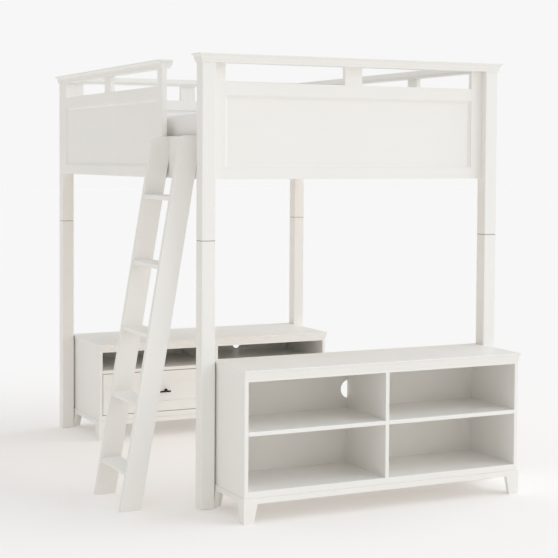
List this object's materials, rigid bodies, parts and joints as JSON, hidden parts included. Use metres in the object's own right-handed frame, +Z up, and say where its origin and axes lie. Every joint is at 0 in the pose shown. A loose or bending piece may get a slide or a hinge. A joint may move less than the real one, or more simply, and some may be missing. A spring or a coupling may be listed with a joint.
{
  "type": "loft bed",
  "caption": "Loft bed for a full-size mattress on tall square posts, with a leaning ladder, an open bookcase at one end and a low drawer console at the other.",
  "frame": {"origin": "centre of the bounding box of the whole set, on the floor", "axes": "+Z up; +X along the short ends, from the ladder side to the closed side; +Y along the length, from the bookcase end (front) to the console end (back)"},
  "size_m": [1.875, 2.381, 1.984],
  "materials": {
    "white_paint": "satin white paint",
    "painted_back": "satin white paint on thin board",
    "slat_wood": "bare pine",
    "drawer_wood": "clear satin birch",
    "mattress_fabric": "knitted ticking",
    "steel": "zinc plated",
    "runner_steel": "zinc plated",
    "bronze": "dark oil-rubbed bronze",
    "glide_plastic": "matte nylon"
  },
  "bodies": {
    "frame": {"back_crown": "white_paint", "back_panel": "white_paint", "back_rails": "white_paint", "back_stiles": "white_paint", "beam_hangers": "steel", "bookcase_back": "painted_back", "bookcase_base": "white_paint", "bookcase_bottom": "white_paint", "bookcase_divider": "white_paint", "bookcase_shelves": "white_paint", "bookcase_sides": "white_paint", "bookcase_top": "white_paint", "console_back": "painted_back", "console_base": "white_paint", "console_bottom": "white_paint", "console_divider": "white_paint", "console_shelves": "white_paint", "console_sides": "white_paint", "console_top": "white_paint", "corner_brackets": "steel", "drawer_channels": "runner_steel", "front_crown": "white_paint", "front_panel": "white_paint", "front_rails": "white_paint", "front_stiles": "white_paint", "ladder_bolts": "steel", "ladder_rail_back": "white_paint", "ladder_rail_front": "white_paint", "ladder_treads": "white_paint", "left_crown": "white_paint", "left_panel": "white_paint", "left_rails": "white_paint", "left_stiles": "white_paint", "lower_post_back_left": "white_paint", "lower_post_back_right": "white_paint", "lower_post_front_left": "white_paint", "lower_post_front_right": "white_paint", "mattress": "mattress_fabric", "post_glides": "glide_plastic", "post_pins": "steel", "right_crown": "white_paint", "right_panel": "white_paint", "right_rails": "white_paint", "right_stiles": "white_paint", "side_rail_left": "white_paint", "side_rail_right": "white_paint", "slat_supports": "slat_wood", "slats": "slat_wood", "upper_post_back_left": "white_paint", "upper_post_back_right": "white_paint", "upper_post_front_left": "white_paint", "upper_post_front_right": "white_paint"},
    "drawer_left": {"drawer_left_bars": "runner_steel", "drawer_left_box": "drawer_wood", "drawer_left_front": "white_paint", "drawer_left_handle": "bronze"},
    "drawer_right": {"drawer_right_bars": "runner_steel", "drawer_right_box": "drawer_wood", "drawer_right_front": "white_paint", "drawer_right_handle": "bronze"}
  },
  "joints": [
    {"name": "drawer_left_slide", "type": "slide", "parent": "frame", "child": "drawer_left", "axis": [0, -1, 0], "range_m": [0, 0.35]},
    {"name": "drawer_right_slide", "type": "slide", "parent": "frame", "child": "drawer_right", "axis": [0, -1, 0], "range_m": [0, 0.35]}
  ]
}
